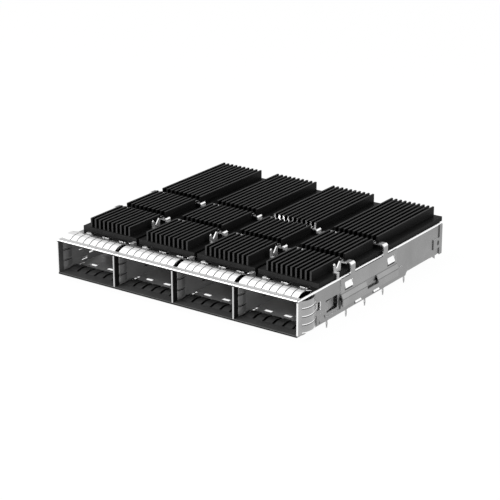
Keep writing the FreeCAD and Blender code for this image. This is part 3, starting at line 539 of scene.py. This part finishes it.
def boxes_mesh(boxes):
    """Boxes between two corners each, as one mesh."""
    mesh = bmesh.new()
    for low, high in boxes:
        low, high = Vector(low) * MM, Vector(high) * MM
        for vert in bmesh.ops.create_cube(mesh, size=1)["verts"]:
            vert.co = [low[i] + (vert.co[i] + 0.5) * (high[i] - low[i]) for i in range(3)]
    data = bpy.data.meshes.new("cutter")
    mesh.to_mesh(data)
    mesh.free()
    return data


def carved(source, boxes, operation):
    """A mesh cut by boxes: the share inside them, or what they leave."""
    scene = bpy.context.scene.collection
    piece = bpy.data.objects.new("carved", source)
    cutter = bpy.data.objects.new("cutter", boxes_mesh(boxes))
    scene.objects.link(piece)
    scene.objects.link(cutter)
    cut = piece.modifiers.new("cut", "BOOLEAN")
    cut.operation = operation
    cut.solver = "EXACT"
    cut.object = cutter
    bpy.context.view_layer.update()
    data = bpy.data.meshes.new_from_object(
        piece.evaluated_get(bpy.context.evaluated_depsgraph_get()))
    bpy.data.objects.remove(piece)
    bpy.data.objects.remove(cutter)
    return data


def split_at_creases(data):
    """Give the two bends of each side plate's outward step narrow faces of their own."""
    mesh = bmesh.new()
    mesh.from_mesh(data)
    for bend in STEP_BENDS:
        for level in (bend - CREASE, bend + CREASE):
            whole = list(mesh.verts) + list(mesh.edges) + list(mesh.faces)
            bmesh.ops.bisect_plane(mesh, geom=whole, dist=TOUCH,
                                   plane_co=(0, 0, level * MM), plane_no=(0, 0, 1))
    mesh.to_mesh(data)
    mesh.free()


def clip_piece(name, data):
    """One piece of the clip, which stands for a share of its node."""
    piece = bpy.data.objects.new(name, data)
    bpy.context.scene.collection.objects.link(piece)
    paint_faces(piece, ["clip", "leg", "bar", "edge", "fork", "joggle", "crease"], clip_face)
    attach(piece, "cage")
    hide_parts("heat_sink_clip")
    return piece


def make_clip():
    """The clip's frame, and for each port its bows and its fork as pieces of their own, cut where
    the clip gives as a sink rises.
    """
    source = closed_copy("heat_sink_clip")
    bows = [at_port(index, BOWS_BOX) for index in range(PORTS)]
    forks = [at_port(index, FORK_BOX) for index in range(PORTS)]
    plates = carved(source, bows + forks, "DIFFERENCE")
    split_at_creases(plates)
    clip_piece("clip_frame", plates)
    for number, (bows_box, fork_box) in enumerate(zip(bows, forks), 1):
        bow = clip_piece("clip_bows_%d" % number, carved(source, [bows_box], "INTERSECT"))
        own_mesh(bow)
        fork = clip_piece("clip_fork_%d" % number, carved(source, [fork_box], "INTERSECT"))
        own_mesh(fork)


# The grounding strips, with smooth fingers

STRIP_FINISHES = ["edge", "band", "finger", "crest", "back", "under", "rim", "bend",
                  "side_finger", "post", "port_finger", "shade"]
# faces that stay out of sight, painted near black as shade
HIDDEN = ["rim"]

# Looks of a strip: the finishes of its hem from the sheet's inner face to its outer one, of
# the flat bands that grip the sheet, and of its fingers from foot to tip. These paint light
# and shade on one metal: painted highlight on the hems' outer bends and the fingers' front
# slopes, and painted shade on the fingers' backs, undersides and cut faces, on the bottom
# strips' hems and on the side and inner fingers.
MOUTH_LOOKS = {
    "hem": ["under"] * 2 + ["rim"] * 2 + ["edge"] * 3 + ["band"],
    "band": ["band"],
    "inner_band": ["under"],
    "outer": ["finger"] * 6 + ["crest"] * 4 + ["back"] * 5,
    "cut": ["under"] * 2 + ["edge"],
    "inner": ["port_finger"],
    "inner_cut": ["rim"],
}
SILL_LOOKS = dict(MOUTH_LOOKS, hem=["under"] * 2 + ["rim"] * 6, cut=["post"],
                  inner=["under"])
SIDE_LOOKS = dict(MOUTH_LOOKS, hem=["under"] * 2 + ["edge"] * 5 + ["side_finger"],
                  band=["side_finger"], outer=["side_finger"], cut=["shade"])
POST_FINGER = ["bend"] + ["port_finger"] * 8 + ["bend"]
POST_LOOKS = dict(MOUTH_LOOKS, hem=["under"] * 2 + ["post"] * 4 + ["under"] * 2,
                  band=["rim"], inner_band=["rim"], outer=POST_FINGER, cut=["rim"],
                  inner=POST_FINGER)


def curve_through(knots, steps):
    """Points along a smooth curve through knots in a plane."""
    ends = [(2 * knots[0][0] - knots[1][0], 2 * knots[0][1] - knots[1][1])]
    ends += list(knots)
    ends.append((2 * knots[-1][0] - knots[-2][0], 2 * knots[-1][1] - knots[-2][1]))
    points = []
    for a, b, c, d in zip(ends, ends[1:], ends[2:], ends[3:]):
        for step in range(steps):
            t = step / steps
            points.append(tuple(
                0.5 * (2 * b[i] + (c[i] - a[i]) * t
                       + (2 * a[i] - 5 * b[i] + 4 * c[i] - d[i]) * t * t
                       + (3 * b[i] - a[i] - 3 * c[i] + d[i]) * t * t * t) for i in (0, 1)))
    return points + [tuple(knots[-1])]


def finger_curve(shape, level, hand):
    """The path of a bowed finger on one face of a sheet."""
    foot, rise, tip, bow = shape
    return curve_through([(foot + (tip - foot) * along, level + rise * share * hand)
                          for along, share in bow], CURVE_STEPS)


def spread(names, count):
    """A finish's place in the list for each step along a strip, from the finishes in order."""
    return [STRIP_FINISHES.index(names[i * len(names) // count]) for i in range(count)]


def add_ribbon(mesh, path, low, high, outer, inner, cut):
    """A closed strip of even thickness along a path, from low to high across it.

    outer, inner and cut name the finishes along its two faces and its cut edges.
    """
    half = STRIP_METAL / 2
    rows = []
    for i, (u, v) in enumerate(path):
        before, after = path[max(i - 1, 0)], path[min(i + 1, len(path) - 1)]
        run = math.hypot(after[0] - before[0], after[1] - before[1])
        side = ((before[1] - after[1]) / run * half, (after[0] - before[0]) / run * half)
        rows.append([mesh.verts.new(Vector((x, u + side[0] * hand, v + side[1] * hand)))
                     for x, hand in ((low, 1), (high, 1), (high, -1), (low, -1))])
    kinds = [spread(names, len(path) - 1) for names in (outer, cut, inner, cut)]
    for step, (one, two) in enumerate(zip(rows, rows[1:])):
        for i, kind in enumerate(kinds):
            following = (i + 1) % 4
            face = mesh.faces.new((one[i], one[following], two[following], two[i]))
            face.material_index = kind[step]
            face.smooth = i % 2 == 0
    for row, place in ((rows[0][::-1], 0), (rows[-1], -1)):
        mesh.faces.new(row).material_index = kinds[1][place]


def fingers_between(edges, slit):
    """The two sides of each finger in a row, with a slit between two fingers."""
    return [(low + slit / 2, high - slit / 2) for low, high in zip(edges, edges[1:])]


def strip_mesh(row, outer, inner, looks, highlight_hand=0):
    """The mesh of a strip that grips a sheet whose outer face is at height 0.

    outer and inner hold the fingers of each face: their edges across the strip, the slit
    between two, and their shape. looks names the finishes. The last argument is 1 or -1 where
    a band along the outer fingers' higher or lower edges is painted white as highlight.
    """
    mesh = bmesh.new()
    outer_edges, outer_slit, outer_shape = outer
    inner_edges, inner_slit, inner_shape = inner
    ends = (-row / 2, row / 2)
    away = STRIP_METAL / 2 + STRIP_GRIP
    over, under = away, -SHEET - away
    fold = (over - under) / 2
    middle = (over + under) / 2
    hem = [(-fold * math.sin(math.pi * step / HEM_STEPS),
            middle - fold * math.cos(math.pi * step / HEM_STEPS))
           for step in range(HEM_STEPS + 1)]
    add_ribbon(mesh, [(inner_shape[0], under), (0, under)], *ends, looks["inner_band"], HIDDEN,
               looks["inner_band"])
    add_ribbon(mesh, hem, *ends, looks["hem"], HIDDEN, looks["hem"][:1])
    add_ribbon(mesh, [(0, over), (outer_shape[0], over)], *ends, looks["band"], HIDDEN,
               looks["band"])
    path = finger_curve(outer_shape, over, 1)
    for low, high in fingers_between(outer_edges, outer_slit):
        # a band along one edge of each outer finger, flush with it, is painted white as highlight
        if highlight_hand > 0:
            add_ribbon(mesh, path, high - EDGE_HIGHLIGHT_WIDTH, high, ["edge"], HIDDEN, looks["cut"])
            high -= EDGE_HIGHLIGHT_WIDTH
        elif highlight_hand < 0:
            add_ribbon(mesh, path, low, low + EDGE_HIGHLIGHT_WIDTH, ["edge"], HIDDEN, looks["cut"])
            low += EDGE_HIGHLIGHT_WIDTH
        add_ribbon(mesh, path, low, high, looks["outer"], HIDDEN, looks["cut"])
    path = finger_curve(inner_shape, under, -1)
    for low, high in fingers_between(inner_edges, inner_slit):
        add_ribbon(mesh, path, low, high, HIDDEN, looks["inner"], looks["inner_cut"])
    bmesh.ops.recalc_face_normals(mesh, faces=mesh.faces)
    return mesh


def strip_piece(name, mesh, turn, place):
    """A strip in its place, which stands for the node of its name."""
    data = bpy.data.meshes.new(name)
    mesh.to_mesh(data)
    data.transform(Matrix.Scale(MM, 4) @ Matrix.Translation(place) @ turn)
    for finish in STRIP_FINISHES:
        data.materials.append(FINISHES[finish])
    data.set_sharp_from_angle(angle=SHARP)
    piece = bpy.data.objects.new(name + "_dressed", data)
    bpy.context.scene.collection.objects.link(piece)
    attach(piece, "cage")
    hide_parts(name)


def evenly(count, pitch, shift=0.0):
    """Edges of a row of fingers round a strip's middle."""
    return [(step - count / 2) * pitch + shift for step in range(count + 1)]


def mirrored(edges):
    """Edges of a row of fingers seen from its other end."""
    return [-edge for edge in edges[::-1]]


def make_mouth_strips():
    """Smooth strips on the cover's and the floor's front edges, one over and one under a port."""
    row = PITCH - STRIP_METAL
    outer = evenly(OUTER_FINGERS, OUTER_PITCH)
    outer[0] -= FIRST_EXTRA
    inner = evenly(INNER_FINGERS, INNER_PITCH, INNER_SHIFT)
    inner[0], inner[-1] = -INNER_END, INNER_END
    mouth = strip_mesh(row, (outer, OUTER_SLIT, OUTER_SHAPE), (inner, INNER_SLIT, MOUTH_SHAPE),
                       MOUTH_LOOKS)
    sill = strip_mesh(row, (mirrored(outer), OUTER_SLIT, OUTER_SHAPE),
                      (mirrored(inner), INNER_SLIT, MOUTH_SHAPE), SILL_LOOKS)
    over = Matrix.Rotation(math.pi, 4, "Y")
    for index in range(PORTS):
        x = port_middle(index)
        strip_piece("top_spring_strip_%d" % (index + 1), mouth, Matrix.Identity(4),
                    Vector((x, 0, COVER_TOP)))
        strip_piece("bottom_spring_strip_%d" % (index + 1), sill, over, Vector((x, 0, 0)))


def make_upright_strips():
    """Smooth strips on the front edges of both side walls and of each divider."""
    layer = STRIP_METAL + STRIP_GRIP
    row = PORT_HEIGHT - layer * 2
    level = FLOOR_TOP + PORT_HEIGHT / 2
    reach = (PORT_HEIGHT - (layer + INNER_RISE) * 2 - POST_ROOM) / 2
    outer = (evenly(SIDE_FINGERS, row / SIDE_FINGERS), SIDE_SLIT, OUTER_SHAPE)
    inner = ([-reach, -POST_HALF, POST_HALF, reach], POST_SLIT, POST_SHAPE)
    for side, hand in (("right", 1), ("left", -1)):
        strip_piece("side_spring_strip_" + side,
                    strip_mesh(row, outer, inner, SIDE_LOOKS, hand),
                    Matrix.Rotation(hand * math.pi / 2, 4, "Y"),
                    Vector((hand * WALL_OUT, 0, level)))
    post = strip_mesh(row, inner, inner, POST_LOOKS)
    for number in range(1, PORTS):
        x = PITCH * (number - PORTS / 2) + SHEET / 2
        strip_piece("divider_spring_%d" % number, post, Matrix.Rotation(math.pi / 2, 4, "Y"),
                    Vector((x, 0, level)))


# The stage

def make_camera():
    """A camera where the photograph's was."""
    data = bpy.data.cameras.new("camera")
    data.sensor_width = SENSOR
    data.lens = FOCAL_PIXELS / PHOTO_WIDTH * SENSOR
    data.clip_start = 0.01
    data.clip_end = 10
    camera = bpy.data.objects.new("camera", data)
    turn = (Matrix.Rotation(CAMERA_AZIMUTH, 4, "Z")
            @ Matrix.Rotation(math.pi / 2 - CAMERA_ELEVATION, 4, "X")
            @ Matrix.Rotation(CAMERA_ROLL, 4, "Z"))
    camera.matrix_world = Matrix.Translation(CAMERA_PLACE) @ turn
    bpy.context.scene.collection.objects.link(camera)
    bpy.context.scene.camera = camera


def backdrop_share(tree):
    """1 for a ray that should meet the plain white background, 0 for light on the object."""
    path = tree.nodes.new("ShaderNodeLightPath")
    share = path.outputs["Is Camera Ray"]
    for ray in ("Is Transmission Ray", "Is Glossy Ray"):
        either = tree.nodes.new("ShaderNodeMath")
        either.operation = "MAXIMUM"
        tree.links.new(share, either.inputs[0])
        tree.links.new(path.outputs[ray], either.inputs[1])
        share = either.outputs[0]
    return share


def make_world():
    """White where it is seen or mirrored, and a plain soft light elsewhere."""
    world = bpy.data.worlds.new("world")
    bpy.context.scene.world = world
    world.use_nodes = True
    tree = world.node_tree
    background = tree.nodes["Background"]
    background.inputs["Color"].default_value = (1, 1, 1, 1)
    level = tree.nodes.new("ShaderNodeMapRange")
    level.inputs["To Min"].default_value = SOFT_LIGHT
    level.inputs["To Max"].default_value = 1.0
    tree.links.new(backdrop_share(tree), level.inputs["Value"])
    tree.links.new(level.outputs["Result"], background.inputs["Strength"])


def make_floor():
    """A plain pale floor just under the tails that keeps the object's soft shadow."""
    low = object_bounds()[0][2]
    bpy.ops.mesh.primitive_plane_add(size=FLOOR_SIZE, location=(0, 0, low))
    floor = bpy.context.object
    floor.name = "floor"
    nodes = Nodes("floor")
    nodes.tree.nodes.remove(nodes.shader)
    output = nodes.tree.nodes["Material Output"]
    matte = nodes.add("ShaderNodeBsdfDiffuse")
    matte.inputs["Color"].default_value = FLOOR_COLOUR
    glow = nodes.add("ShaderNodeEmission")
    mix = nodes.add("ShaderNodeMixShader")
    weight = nodes.add("ShaderNodeMath", operation="MULTIPLY")
    weight.inputs[1].default_value = FLOOR_WHITE
    nodes.link(backdrop_share(nodes.tree), weight.inputs[0])
    nodes.link(weight.outputs[0], mix.inputs["Fac"])
    nodes.link(matte.outputs[0], mix.inputs[1])
    nodes.link(glow.outputs[0], mix.inputs[2])
    nodes.link(mix.outputs[0], output.inputs["Surface"])
    floor.data.materials.append(nodes.material)


def soft_lamp(name, place, size, power, glossy=True):
    """A square lamp that looks at the middle of the object, mirrored in it or not."""
    data = bpy.data.lights.new(name, "AREA")
    data.size = size
    data.energy = power
    lamp = bpy.data.objects.new(name, data)
    aim = LAMP_AIM - Vector(place)
    lamp.rotation_euler = aim.to_track_quat("-Z", "Y").to_euler()
    lamp.location = place
    lamp.visible_glossy = glossy
    bpy.context.scene.collection.objects.link(lamp)


def make_lamps():
    """Soft studio light from above on the left, from the right, and low into the ports."""
    soft_lamp("key_lamp", (-0.25, -0.35, 0.55), 0.5, 5.0)
    soft_lamp("side_lamp", (0.6, 0.05, 0.35), 0.4, 3.0)
    soft_lamp("mouth_lamp", (0.36, -0.46, 0.075), 0.16, 2.2, glossy=False)


FINISHES = make_finishes()
make_camera()
make_world()
make_floor()
make_lamps()
paint_nodes()
make_clip()
make_mouth_strips()
make_upright_strips()
bpy.context.scene.view_settings.view_transform = "Standard"
